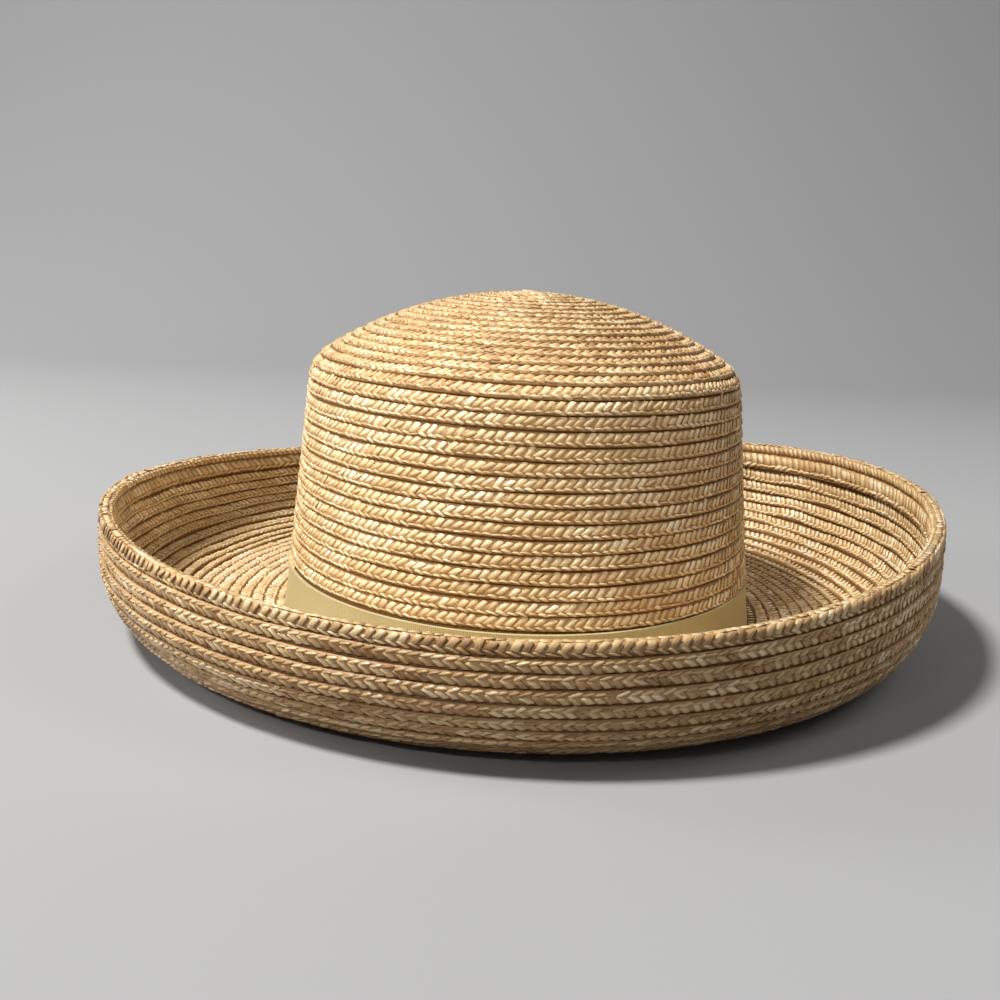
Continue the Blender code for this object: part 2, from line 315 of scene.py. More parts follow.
FIRST_RING = 0.5 * MM


def lean_at(distance, wall_lean):
    """How far a row's free edge stands up: a little on the flat floor, and more up the wall."""
    share = smooth_step((distance - FLOOR_END + LEAN_EARLY) / LEAN_EASE)
    return FLOOR_LEAN + (wall_lean - FLOOR_LEAN) * share


def shell_rings_on_brim():
    """Out along the underside and up the wall, over the rim, and back down the inside."""
    rings = [(0.0, 0.0)]
    for row in range(OUTSIDE_ROWS, 0, -1):
        upper = RIM - (row - 1) * ROW_PITCH
        rings.append((max(upper - OUTSIDE_STEP[0], FIRST_RING), -STEP_SINK))
        lip = RIM_ROW_DROP if row == 1 else OUTSIDE_STEP[1]
        rings.append((upper - lip, lean_at(upper, OUTSIDE_LEAN) - OUTSIDE_LIP_SINK))
    rings.append((RIM - RIM_ROW_DROP, SHELL_SINK - STRAW_WALL))
    rings.append((INSIDE_TOP + ROW_PITCH / 2, SHELL_SINK - STRAW_WALL))
    for row in range(INSIDE_ROWS):
        upper = INSIDE_TOP - row * ROW_PITCH
        rings.append((upper - INSIDE_STEP[1], SHELL_SINK - STRAW_WALL))
        rings.append((upper - INSIDE_STEP[0], INSIDE_LIP_SINK - lean_at(upper, INSIDE_LEAN) - STRAW_WALL))
    rings.append((0.0, -STRAW_WALL))
    return rings


crown_shell = raise_shell("crown_shell", CROWN, on_crown, shell_rings_on_crown(), CROWN_SEGMENTS,
                          looped=False)
brim_shell = raise_shell("brim_shell", BRIM, sunk_brim(SHELL_UNDER_SINK), shell_rings_on_brim(),
                         BRIM_SEGMENTS, widen=MEAN_HALF_SIZE)

# %% [markdown]
# ## One strand of braid
#
# Where two straws of a braid cross, the upper one shows as a flat bead with pointed ends. Seen from
# the front a row is a line of fat slanted beads with a line of small loops at its free edge. Both are
# modelled once, from a low sphere that is turned, flattened and pulled out, because they are copied
# thousands of times and each copy can only have a few dozen faces.


# %% Bead patterns
BEAD_SEGMENTS = 6
BEAD_RINGS = 3
MIDDLE_SHARE = 0.4
MIDDLE_SWELL = 1.12


def model_bead(name, length, width, thickness, fullness):
    """A flattened bead along X, centred on the origin, as points and triangles."""
    deselect_all()
    bpy.ops.mesh.primitive_uv_sphere_add(segments=BEAD_SEGMENTS, ring_count=BEAD_RINGS, radius=0.5)
    bead = bpy.context.object
    bead.name = name
    bpy.ops.object.mode_set(mode="EDIT")
    bpy.ops.mesh.select_all(action="SELECT")
    bpy.ops.transform.rotate(value=math.pi / 2, orient_axis="Y", center_override=(0, 0, 0))
    bpy.ops.transform.resize(value=(length, width, thickness), center_override=(0, 0, 0))
    bpy.ops.mesh.quads_convert_to_tris()
    bpy.ops.object.mode_set(mode="OBJECT")
    middle = np.flatnonzero(np.abs(coordinates(bead)[:, 0]) < MIDDLE_SHARE * length)
    select_vertices(bead, middle)
    bpy.ops.transform.resize(value=(fullness, MIDDLE_SWELL, MIDDLE_SWELL), center_override=(0, 0, 0))
    bpy.ops.object.mode_set(mode="OBJECT")
    triangles = np.array([tuple(face.vertices) for face in bead.data.polygons])
    pattern = (coordinates(bead), triangles)
    bpy.data.objects.remove(bead, do_unlink=True)
    print(f"{name}: {len(triangles)} triangles")
    return pattern


LOZENGE = model_bead("lozenge", length=3.8 * MM, width=2.65 * MM, thickness=0.85 * MM, fullness=1.70)
LOOP = model_bead("loop", length=3.4 * MM, width=1.85 * MM, thickness=0.95 * MM, fullness=1.50)

# %% [markdown]
# ## Laying the rows
#
# Along a row the beads keep their distance, though the hat's turns grow from a few millimetres to a
# metre. So each row is first walked in small steps, then the beads are set at even lengths of that
# walk. A sewn row is never quite even: it wavers a little, and its straws differ in size, slant, tone
# and gloss. All chance comes from seeded generators, so the hat is the same each time.

# %% Spots along a row
BEAD_STEP = 3.08 * MM
WAVER_LENGTH = 22 * MM
SHINE_LENGTH = 11 * MM


def drift(draw, places, total, spacing):
    """Smooth chance between -1 and 1 along a closed or open row."""
    count = max(int(total / spacing), 4)
    knots = draw.uniform(-1, 1, count)
    here = places / total * count
    low = np.floor(here).astype(int)
    return knots[low % count] + (knots[(low + 1) % count] - knots[low % count]) * smooth_step(here - low)


def walk_row(draw, block, turns, edges, across, width, step, waver):
    """Spots at even lengths along one row, whose free edge runs through turns and edges."""
    line = block(turns, edges + across * width / 2, 0.0)
    lengths = np.concatenate([[0.0], np.cumsum(np.linalg.norm(np.diff(line, axis=0), axis=1))])
    count = max(round(lengths[-1] / step), 3)
    places = (np.arange(count) + draw.random()) * lengths[-1] / count % lengths[-1]
    pace = np.gradient(lengths, turns)
    return {
        "turn": np.interp(places, lengths, turns),
        "edge": np.interp(places, lengths, edges) + waver * drift(draw, places, lengths[-1], WAVER_LENGTH),
        "pace": np.interp(places, lengths, pace),
        "shine": drift(draw, places, lengths[-1], SHINE_LENGTH),
    }


def join_rows(rows):
    spots = {key: np.concatenate([row[key] for row in rows]) for key in rows[0]}
    spots["row"] = np.repeat(np.arange(len(rows)), [len(row["turn"]) for row in rows])
    return spots


FULL_TURN = np.linspace(0, 2 * math.pi, 361)


def ring_rows(draw, block, edges, across, waver, step=BEAD_STEP, width=ROW_PITCH):
    """Rows that close on themselves, one for each edge distance."""
    return join_rows([
        walk_row(draw, block, FULL_TURN, np.full(FULL_TURN.shape, edge), across, width, step, waver)
        for edge in edges
    ])


# %% [markdown]
# A bead is placed in the row's own terms: how far along, how far across from the free edge, how high
# off the shell. Only then do the block's functions bend it to the hat, corner by corner, so a bead
# near the middle of the dome curls as the real one does. Beads on a flat row would look like fish
# scales, so the row arches across and leans up to its free edge. Each bead has its own size, turn and
# tone, and is darker along its sides, where its neighbours shade it.


# %% Beads on their spots
ROW_ARCH = 0.60 * MM
ROLL = 0.14
SQUARE = 0.65
EDGE_SHADE = 0.65
SIZE_SPREAD = 0.09
GRAIN_SHIFT = 0.05
ROLL_SPREAD = 0.10
SLANT_SPREAD = 0.12
ALONG_SPREAD = 0.16 * MM
ACROSS_SPREAD = 0.09 * MM
HEIGHT_SPREAD = 0.05 * MM
SHINE_SPREAD = 0.35


def row_height(reach, lean, width=ROW_PITCH, arch=ROW_ARCH):
    """How high a row's middle layer lies, across the row: a shallow arch that leans."""
    return arch * (1 - (2 * reach / width - 1) ** 2) + lean * (1 - reach / width)


def lay_beads(draw, pattern, spots, block, side, across, centre, lean, slant,
              scale=1.0, rise=0.0, roll=ROLL, width=ROW_PITCH, arch=ROW_ARCH, flat=1.0, tone=0.0):
    """Copies of a bead at each spot, as points, triangles, grain coordinates, tone and shine.

    side is 1 on the outside and -1 on the inside. across is 1 or -1, the way from the free edge into
    the row, and centre is how far in the middle line of the beads lies.
    """
    corners, triangles = pattern
    count = len(spots["turn"])
    scales = (scale, scale, scale * flat)
    x, y, z = (corners[:, axis, None] * scales[axis] * draw.normal(1, SIZE_SPREAD, count)
               for axis in range(3))
    grain = np.stack([x, y + GRAIN_SHIFT * draw.random(count)], -1)
    roll = roll + draw.normal(0, ROLL_SPREAD, count)
    tilt = slant + draw.normal(0, SLANT_SPREAD, count)
    y, z = y * np.cos(roll) - z * np.sin(roll), y * np.sin(roll) + z * np.cos(roll)
    z = z + x * rise
    across_x = -SQUARE * np.sign(slant) - (1 - SQUARE) * np.sin(tilt)
    across_y = (1 - SQUARE) * np.cos(tilt)
    edge = np.abs(y) / np.abs(corners[:, 1]).max() / scale
    x, y = x * np.cos(tilt) + y * across_x, x * np.sin(tilt) + y * across_y
    reach = centre + y + draw.normal(0, ACROSS_SPREAD, count)
    height = z + row_height(reach, lean, width, arch) + draw.normal(0, HEIGHT_SPREAD, count)
    turn = spots["turn"] + (x + draw.normal(0, ALONG_SPREAD, count)) / spots["pace"]
    distance = spots["edge"] + across * reach
    lift = height if side > 0 else -STRAW_WALL - height
    points = block(turn, distance, lift).transpose(1, 0, 2).reshape(-1, 3)
    faces = (triangles[None] + len(corners) * np.arange(count)[:, None, None]).reshape(-1, 3)
    if side * across < 0:
        faces = faces[:, ::-1]
    return {
        "points": points,
        "faces": faces,
        "grain": grain.transpose(1, 0, 2).reshape(-1, 2),
        # A face's tone offset is painted shade or painted light over all its beads; the random part is the
        # straw's own tone; EDGE_SHADE paints shade along each bead's sides.
        "tone": (tone + draw.random(count) - EDGE_SHADE * edge**2).T.ravel(),
        "shine": np.repeat(spots["shine"] + draw.normal(0, SHINE_SPREAD, count), len(corners)),
    }


# %% [markdown]
# ### The body of a row
#
# A real row is a woven band, so nothing shows through between its upper strands. More layers of beads
# would do the same with far too many faces. So one arched strip lies under them, in a darker tone,
# because little light gets down there.

# %% Bodies and meshes
BODY_REACHES = np.array([0.20, 1.20, 3.00, 4.45, 4.45, 0.20]) * MM
BODY_DEPTHS = np.array([0.10, 0.00, 0.00, 0.10, 1.00, 1.00]) * MM
BODY_TONE = -0.6


def signed_volume(points, faces):
    """Positive where the faces point outwards."""
    corner = points[faces]
    return np.einsum("ij,ij->i", corner[:, 0], np.cross(corner[:, 1], corner[:, 2])).sum() / 6


def lay_bodies(spots, block, side, across, lean, closed=True, width=ROW_PITCH, arch=ROW_ARCH):
    """The body of each row under its beads, an arched strip that follows every second spot."""
    bodies = []
    sides = len(BODY_REACHES)
    reaches = BODY_REACHES * width / ROW_PITCH
    heights = row_height(reaches, lean, width, arch) - BODY_DEPTHS
    for row in np.unique(spots["row"]):
        turn, edge = (spots[key][spots["row"] == row][::2, None] for key in ("turn", "edge"))
        lift = (heights if side > 0 else -STRAW_WALL - heights) + 0 * turn
        points = block(turn + 0 * lift, edge + across * reaches, lift).reshape(-1, 3)
        steps = np.arange(len(turn) if closed else len(turn) - 1)[:, None]
        here, there = steps * sides, (steps + 1) % len(turn) * sides
        around = np.arange(sides)
        after = (around + 1) % sides
        faces = np.concatenate([
            np.stack([here + around, there + around, there + after], -1).reshape(-1, 3),
            np.stack([here + around, there + after, here + after], -1).reshape(-1, 3),
        ])
        if not closed:
            fan = np.stack([0 * around[1:-1], around[1:-1], around[2:]], -1)
            faces = np.concatenate([faces, fan, (fan + len(points) - sides)[:, ::-1]])
        if signed_volume(points, faces) < 0:
            faces = faces[:, ::-1]
        along = (np.arange(len(turn))[:, None] * 2 * BEAD_STEP + 0 * lift).ravel()
        bodies.append((points, faces, np.stack([along, np.tile(reaches, len(turn))], -1)))
    starts = np.cumsum([0] + [len(points) for points, _, _ in bodies])
    return {
        "points": np.concatenate([points for points, _, _ in bodies]),
        "faces": np.concatenate([faces + start for (_, faces, _), start in zip(bodies, starts)]),
        "grain": np.concatenate([grain for _, _, grain in bodies]),
        "tone": np.full(starts[-1], BODY_TONE),
        "shine": np.zeros(starts[-1]),
    }


def mesh_of_beads(name, groups):
    """One object from several lots of beads, with grain as its UV map and tone and shine on points."""
    starts = np.cumsum([0] + [len(group["points"]) for group in groups])
    points = np.concatenate([group["points"] for group in groups])
    faces = np.concatenate([group["faces"] + start for group, start in zip(groups, starts)])
    data = bpy.data.meshes.new(name)
    data.vertices.add(len(points))
    data.vertices.foreach_set("co", points.ravel())
    data.loops.add(faces.size)
    data.loops.foreach_set("vertex_index", faces.ravel().astype(np.int32))
    data.polygons.add(len(faces))
    data.polygons.foreach_set("loop_start", np.arange(0, faces.size, 3, dtype=np.int32))
    data.update(calc_edges=True)
    grain = np.concatenate([group["grain"] for group in groups])
    data.uv_layers.new(name="grain").data.foreach_set("uv", grain[faces.ravel()].ravel())
    for key in ("tone", "shine"):
        values = np.concatenate([group[key] for group in groups])
        data.attributes.new(key, "FLOAT", "POINT").data.foreach_set("value", values)
    data.shade_smooth()
    piece = bpy.data.objects.new(name, data)
    bpy.context.scene.collection.objects.link(piece)
    volumes = [signed_volume(group["points"], group["faces"]) for group in groups]
    print(f"{name}: {len(faces)} triangles,", ", ".join(f"{volume * 1e6:.1f}" for volume in volumes), "cm3")
    return piece


# %% [markdown]
# ## Crown rows
#
# The crown is sewn from the middle of the dome down, in one spiral. From outside, each turn covers the
# top of the one below, so its lower edge stands proud. Rings would be simpler, but seen from above
# the spiral is what tells a sewn hat from a moulded one. The rows of the dome lean a little more than
# those of the side, and their straw is painted a shade darker, a painted shade against the strong light
# on the top.

# %% Crown rows
SLANT = math.radians(48)
LOOP_SLANT = math.radians(-18)
LOZENGE_CENTRE = 2.90 * MM
LOOP_CENTRE = 1.02 * MM
PLAIN_CENTRE = 2.3 * MM
LOZENGE_RISE = 0.06
LOOP_RISE = -0.06
ROW_WAVER = 0.30 * MM
CALM_WAVER = 0.15 * MM
CROWN_LEAN = 0.38 * MM
CROWN_INSIDE_LEAN = 0.35 * MM
CROWN_INSIDE_SCALE = 1.2
CROWN_INSIDE_FOOT = 0.3 * MM
TIP_LEAN = 0.60 * MM
# The dome's strands are painted darker: painted shade that holds down the strong light on the top.
TIP_SHADE = -0.50
RIBBON_TUCK = 0.7 * MM
FIRST_TURNS = 1.3
STEPS_PER_TURN = 120


def crown_spiral(last_distance):
    """Turns and lower edges of the spiral, from near the middle of the dome to a distance."""
    last_turns = (CROWN["length"] - last_distance) / ROW_PITCH
    turns = np.linspace(FIRST_TURNS, last_turns, int((last_turns - FIRST_TURNS) * STEPS_PER_TURN))
    return 2 * math.pi * turns, CROWN["length"] - turns * ROW_PITCH


def split_spots(spots, chosen):
    return {key: values[chosen] for key, values in spots.items()}


def above_ribbon(spots, centre):
    """The spots whose bead, at its centre across the row, isn't quite behind the ribbon."""
    return split_spots(spots, spots["edge"] + centre > BAND_TOP_DISTANCE - RIBBON_TUCK)


def crown_braid(draw, name, spots, lean, tone):
    """Lozenges, loops and bodies on the outside of the crown."""
    return mesh_of_beads(name, [
        lay_beads(draw, LOZENGE, above_ribbon(spots, LOZENGE_CENTRE), on_crown, 1, 1,
                  LOZENGE_CENTRE, lean, SLANT, rise=LOZENGE_RISE, tone=tone),
        lay_beads(draw, LOOP, above_ribbon(spots, LOOP_CENTRE), on_crown, 1, 1,
                  LOOP_CENTRE, lean, LOOP_SLANT, rise=LOOP_RISE, tone=tone),
        lay_bodies(above_ribbon(spots, LOZENGE_CENTRE), on_crown, 1, 1, lean, closed=False),
    ])


draw = np.random.default_rng(11)
turns, edges = crown_spiral(BAND_TOP_DISTANCE - ROW_PITCH)
crown_spots = join_rows([walk_row(draw, on_crown, turns, edges, 1, ROW_PITCH, BEAD_STEP, ROW_WAVER)])
on_tip = crown_spots["edge"] > CROWN["distance"][SIDE_POINTS]
crown_side_braid = crown_braid(draw, "crown_side_braid", split_spots(crown_spots, ~on_tip), CROWN_LEAN, 0.0)
crown_tip_braid = crown_braid(draw, "crown_tip_braid", split_spots(crown_spots, on_tip), TIP_LEAN, TIP_SHADE)
turns, edges = crown_spiral(CROWN_INSIDE_FOOT)
inside_spots = walk_row(draw, on_crown, turns, edges + ROW_PITCH, -1, ROW_PITCH,
                        CROWN_INSIDE_SCALE * BEAD_STEP, CALM_WAVER)
crown_inside_braid = mesh_of_beads("crown_inside_braid", [
    lay_beads(draw, LOZENGE, inside_spots, on_crown, -1, -1, PLAIN_CENTRE, CROWN_INSIDE_LEAN, SLANT,
              scale=CROWN_INSIDE_SCALE),
])

# %% [markdown]
# ## Where the plait starts
#
# The spiral can't start in a point. The hatter folds the end of the plait into a small knot and sews
# round it, so the middle of the dome carries a low lump of crossed strands. A lump could be sculpted,
# but the same lozenges, crossed in three layers, look like the rest. Here and there the cut end of a
# straw has also worked its way out between two rows, and a small loop tipped up stands for it.

# %% Knot and loose ends
KNOT_LAYERS = (    # rise, slant, and places along and across in millimetres
    (0.55 * MM, 0.60, ((-2.4, -1.9), (-2.3, 1.2), (0.1, -2.6), (0.2, 2.4), (2.5, -1.2), (2.4, 1.8))),
    (0.75 * MM, -0.75, ((-1.5, -0.4), (0.1, 0.3), (1.6, 0.2))),
    (1.25 * MM, 0.35, ((0.2, 0.0),)),
)
KNOT_SCALE = 1.1
KNOT_SHINE = 0.2
LOOSE_TURNS = np.array([-0.03, 0.00])
LOOSE_RADII = np.array([37.3, 51.4]) * MM
LOOSE_PACE = 1.09
LOOSE_CENTRE = 0.6 * MM
LOOSE_SLANT = 0.3
LOOSE_RISE = 2.4
LOOSE_SCALE = 0.45
LOOSE_SHINE = 0.8


def on_top(rise):
    """A block for the very middle of the dome, where along and across are plain lengths."""
    def block(along, across, lift):
        fall = (along**2 + across**2) / (2 * DOME_RADIUS)
        return np.stack([along, across, CROWN_HEIGHT - fall + rise + lift], -1)
    return block


draw = np.random.default_rng(53)
knot_groups = []
for rise, slant, places in KNOT_LAYERS:
    along, across = np.array(places).T * MM
    knot_spots = {
        "turn": along,
        "edge": across - ROW_PITCH / 2,
        "pace": np.ones(len(along)),
        "shine": np.full(len(along), KNOT_SHINE),
    }
    knot_groups.append(lay_beads(draw, LOZENGE, knot_spots, on_top(rise), 1, 1, ROW_PITCH / 2, 0.0, slant,
                                 scale=KNOT_SCALE, arch=0.0))
tip_knot = mesh_of_beads("tip_knot", knot_groups)
loose_spots = {
    "turn": LOOSE_TURNS,
    "edge": CROWN["length"] - LOOSE_RADII,
    "pace": LOOSE_PACE * LOOSE_RADII,
    "shine": np.full(len(LOOSE_TURNS), LOOSE_SHINE),
}
loose_ends = mesh_of_beads("loose_ends", [
    lay_beads(draw, LOOP, loose_spots, on_crown, 1, 1, LOOSE_CENTRE, TIP_LEAN, LOOSE_SLANT,
              scale=LOOSE_SCALE, rise=LOOSE_RISE),
])

# %% [markdown]
# ## Brim rows
#
# On the brim the same braid shows both faces. On top, each row's inner edge lies over its neighbour;
# underneath and on the outside of the wall it is the outer edge. The inside of the wall gapes most,
# because the roll squeezes the rows there. A hat is worn and laid down on its brim, so the straw of the
# floor is pressed almost flat. The outside is painted the brownest, a painted shade, and the floor and
# the inside of the wall are painted paler, painted light. Rings serve here, because each turn is nearly
# one, and one more row of lozenges runs in under the ribbon.

# %% Brim rows
FLOOR_ARCH = 0.12 * MM
INSIDE_ARCH = 0.40 * MM
PRESSED = 0.55
OUTSIDE_PRESSED = 0.75
# The floor and the inside of the wall are painted paler, painted light; the outside of the wall and the rim
# are painted darker brown, painted shade.
INSIDE_PAINTED_LIGHT = 0.35
OUTSIDE_SHADE = -0.70
INSIDE_WAVER = 0.60 * MM
FLOOR_WAVER = 0.12 * MM
FOOT_WAVER = 0.05 * MM
UNDER_SCALE = 1.15
FLOOR_SCALE = 1.1
WALL_START = FLOOR_END + 4 * MM
INNER_WALL_START = FLOOR_END - 3 * MM

outside_edges = RIM - np.arange(1, OUTSIDE_ROWS) * ROW_PITCH
wall_edges = outside_edges[outside_edges > WALL_START]
under_edges = outside_edges[outside_edges <= WALL_START]
inside_edges = INSIDE_TOP - np.arange(1, INSIDE_ROWS + 1) * ROW_PITCH
inner_wall_edges = inside_edges[inside_edges > INNER_WALL_START]
floor_edges = inside_edges[inside_edges <= INNER_WALL_START]
foot_edge = INSIDE_TOP - (INSIDE_ROWS + 1) * ROW_PITCH


def braid(draw, block, edges, side, across, lean, waver, arch=ROW_ARCH, flat=1.0, tone=0.0, scale=1.0):
    """Rows of lozenges and loops on one face of the brim, and their bodies."""
    spots = ring_rows(draw, block, edges, across, waver)
    return [
        lay_beads(draw, LOZENGE, spots, block, side, across, LOZENGE_CENTRE, lean, SLANT,
                  scale, LOZENGE_RISE, arch=arch, flat=flat, tone=tone),
        lay_beads(draw, LOOP, spots, block, side, across, LOOP_CENTRE, lean, LOOP_SLANT,
                  scale, LOOP_RISE, arch=arch, flat=flat, tone=tone),
        lay_bodies(spots, block, side, across, lean, arch=arch),
    ]


draw = np.random.default_rng(23)
brim_outside_braid = mesh_of_beads("brim_outside_braid", braid(
    draw, under_brim, wall_edges, 1, -1, OUTSIDE_LEAN, ROW_WAVER, flat=OUTSIDE_PRESSED, tone=OUTSIDE_SHADE,
))
under_spots = ring_rows(draw, under_brim, under_edges, -1, CALM_WAVER, step=UNDER_SCALE * BEAD_STEP)
brim_under_braid = mesh_of_beads("brim_under_braid", [
    lay_beads(draw, LOZENGE, under_spots, under_brim, 1, -1, PLAIN_CENTRE, FLOOR_LEAN, SLANT, UNDER_SCALE),
])
brim_inside_braid = mesh_of_beads("brim_inside_braid", braid(
    draw, on_brim, inner_wall_edges, -1, 1, INSIDE_LEAN, INSIDE_WAVER, INSIDE_ARCH, PRESSED, INSIDE_PAINTED_LIGHT,
))
foot_spots = ring_rows(draw, on_brim, [foot_edge], 1, FOOT_WAVER)
brim_floor_braid = mesh_of_beads("brim_floor_braid", [
    *braid(draw, on_brim, floor_edges, -1, 1, FLOOR_LEAN, FLOOR_WAVER, FLOOR_ARCH, PRESSED, INSIDE_PAINTED_LIGHT,
           FLOOR_SCALE),
    lay_beads(draw, LOZENGE, foot_spots, on_brim, -1, 1, LOZENGE_CENTRE, FLOOR_LEAN, SLANT,
              arch=FLOOR_ARCH, flat=PRESSED),
])

# %% [markdown]
# ## The rim and its facing
#
# The last row of the wall ends in the open: its beads stand over the edge, and light from inside
# shows between them. A second, wider strip faces the inside of the edge, and a line of loops standing
# on their sides closes the top. The strip's lower edge hangs free and throws the deepest shadow on the
# hat. It could be more rows of the brim, but only a strip of its own hangs away from the wall.

# %% Rim and facing
FACING_BACK = -STRAW_WALL - GAP
FACING_FRONT = FACING_BACK - 0.9 * MM
FACING_TOP = RIM
FACING_BED = 0.35 * MM
RIM_STEP = 3.15 * MM
RIM_LEAN = 0.5 * MM
RIM_BODY_LEAN = 0.2 * MM
RIM_LOZENGE_CENTRE = 1.4 * MM
RIM_LOZENGE_SLANT = math.radians(-55)
RIM_LOOP_CENTRE = 3.5 * MM
RIM_LOOP_SLANT = math.radians(30)
EDGE_CENTRE = 0.1 * MM
EDGE_LEAN = -1.5 * MM
EDGE_SLANT = math.radians(3)
# The loops along the top of the rim are painted darker: painted shade against the light falling on their
# tops.
EDGE_LOOP_SHADE = -0.35
EDGE_WAVER = 0.1 * MM
TOP_ROW = 3.1 * MM
TOP_CENTRE = 1.5 * MM
TOP_LEAN = 0.1 * MM
LOW_ROW = FACING_WIDTH - TOP_ROW
LOW_LOZENGE_CENTRE = 3.9 * MM
LOW_LOOP_CENTRE = 1.3 * MM
LOW_LEAN = 0.8 * MM
LOW_SCALE = 1.3
LOW_STEP = 1.25 * BEAD_STEP
LOW_WAVER = 0.25 * MM


def facing_rings():
    """Up the back of the strip, over its top, and down the front of its two rows."""
    low = FACING_TOP - FACING_WIDTH
    top = FACING_TOP - 0.5 * MM
    seam = FACING_TOP - TOP_ROW
    return [
        (low, FACING_BACK), (low + FACING_WIDTH / 2, FACING_BACK), (top, FACING_BACK),
        (top, FACING_FRONT + 0.4 * MM), (seam + 0.4 * MM, FACING_FRONT), (seam, FACING_FRONT + 0.3 * MM),
        (low + 3 * MM, FACING_FRONT - 0.1 * MM), (low, FACING_FRONT - 0.6 * MM),
    ]


def on_facing(turn, distance, lift):
    return on_brim(turn, distance, lift + FACING_FRONT + STRAW_WALL + FACING_BED)


draw = np.random.default_rng(37)
facing_shell = raise_shell("facing_shell", BRIM, on_brim, facing_rings(), BRIM_SEGMENTS,
                           widen=MEAN_HALF_SIZE)
rim_spots = ring_rows(draw, on_brim, [RIM], -1, CALM_WAVER, step=RIM_STEP)
# The rim's beads carry the outside's painted shade.
rim_braid = mesh_of_beads("rim_braid", [
    lay_beads(draw, LOZENGE, rim_spots, on_brim, 1, -1, RIM_LOZENGE_CENTRE, RIM_LEAN, RIM_LOZENGE_SLANT,
              tone=OUTSIDE_SHADE),
    lay_beads(draw, LOOP, rim_spots, on_brim, 1, -1, RIM_LOOP_CENTRE, RIM_LEAN, RIM_LOOP_SLANT,
              scale=1.1, tone=OUTSIDE_SHADE),
    lay_bodies(rim_spots, on_brim, 1, -1, RIM_BODY_LEAN),
])
edge_spots = ring_rows(draw, on_brim, [FACING_TOP], -1, EDGE_WAVER, width=MM)
top_spots = ring_rows(draw, on_brim, [FACING_TOP - TOP_ROW], 1, EDGE_WAVER, width=TOP_ROW)
low_spots = ring_rows(draw, on_brim, [FACING_TOP - FACING_WIDTH], 1, LOW_WAVER, step=LOW_STEP)
facing_braid = mesh_of_beads("facing_braid", [
    lay_beads(draw, LOOP, edge_spots, on_facing, -1, -1, EDGE_CENTRE, EDGE_LEAN, EDGE_SLANT,
              scale=1.2, roll=math.pi / 2, tone=EDGE_LOOP_SHADE),
    lay_beads(draw, LOOP, top_spots, on_facing, -1, 1, TOP_CENTRE, TOP_LEAN, SLANT,
              scale=1.05, width=TOP_ROW),
    lay_bodies(top_spots, on_facing, -1, 1, TOP_LEAN, width=TOP_ROW),
    lay_beads(draw, LOZENGE, low_spots, on_facing, -1, 1, LOW_LOZENGE_CENTRE, LOW_LEAN, SLANT,
              scale=LOW_SCALE, width=LOW_ROW, flat=PRESSED),
    lay_beads(draw, LOOP, low_spots, on_facing, -1, 1, LOW_LOOP_CENTRE, LOW_LEAN, LOOP_SLANT,
              scale=LOW_SCALE, width=LOW_ROW),
    lay_bodies(low_spots, on_facing, -1, 1, LOW_LEAN, width=LOW_ROW),
])

# %% [markdown]
# ## The ribbon
#
# Grosgrain is a ribbed ribbon: a fine warp covers a fat weft, and each weft pick shows as an upright
# rib. The ribs could be a bump, but at this size they are cheap as real ridges, so the ring that is
# extruded has two points for each rib.

# %% Ribbon
RIB_HEIGHT = 0.13 * MM
RIBS = 800
FRONT_RINGS = 5
BAND_FRONT = GAP + BAND_THICKNESS
BAND_OVERLAP = 0.5 * MM
BAND_FOOT = 0.2 * MM
BAND_ROUNDING = 0.15 * MM


def band_rings():
    """Up the front, which stands away a little more towards its top, and down the plain back."""
    heights = np.linspace(BAND_FOOT, BAND_TOP_DISTANCE, FRONT_RINGS)
    front = [(height, BAND_FRONT + BAND_OVERLAP * (height / BAND_TOP_DISTANCE) ** 2) for height in heights]
    top = [(BAND_TOP_DISTANCE + BAND_ROUNDING, BAND_FRONT)]
    back = [(height, GAP) for height in heights[::-2]]
    return front + top + back


def ribs(turn, ring):
    crest = np.round(turn / math.pi * RIBS).astype(int) % 2
    return np.where(ring < FRONT_RINGS, RIB_HEIGHT * crest, 0.0)


hat_ribbon = raise_shell("hat_ribbon", CROWN, on_crown, band_rings(), 2 * RIBS, relief=ribs, smooth=20)

# %% [markdown]
# ## Finishes
#
# Straw is a split, glossy tube: fine fibres run along it, each straw has its own tone, and where two
# cross the light catches some and misses others. An image of straw could be wrapped round each strand.
# Here noise is stretched along it instead, in a node group that is sharp at any distance.


# %% Node helpers
def add_node(tree, kind, **values):
    node = tree.nodes.new(kind)
    for key, value in values.items():
        setattr(node, key, value)
    return node


def noise(tree, vector, scale, detail=2.0, rough=0.5):
    node = add_node(tree, "ShaderNodeTexNoise")
    node.inputs["Scale"].default_value = scale
    node.inputs["Detail"].default_value = detail
    node.inputs["Roughness"].default_value = rough
    tree.links.new(vector, node.inputs["Vector"])
    return node.outputs["Fac"]


def math_node(tree, operation, first, second):
    node = add_node(tree, "ShaderNodeMath", operation=operation)
    for socket, value in zip(node.inputs, (first, second)):
        if isinstance(value, (int, float)):
            socket.default_value = value
        else:
            tree.links.new(value, socket)
    return node.outputs[0]


def ramp(tree, factor, stops):
    node = add_node(tree, "ShaderNodeValToRGB")
    elements = node.color_ramp.elements
    while len(elements) < len(stops):
        elements.new(0.5)
    for element, (position, colour) in zip(elements, stops):
        element.position = position
        element.color = (*colour, 1.0)
    tree.links.new(factor, node.inputs["Fac"])
    return node.outputs["Color"]


def spread(tree, value, low, high):
    node = add_node(tree, "ShaderNodeMapRange")
    tree.links.new(value, node.inputs["Value"])
    node.inputs["To Min"].default_value = low
    node.inputs["To Max"].default_value = high
    return node.outputs["Result"]


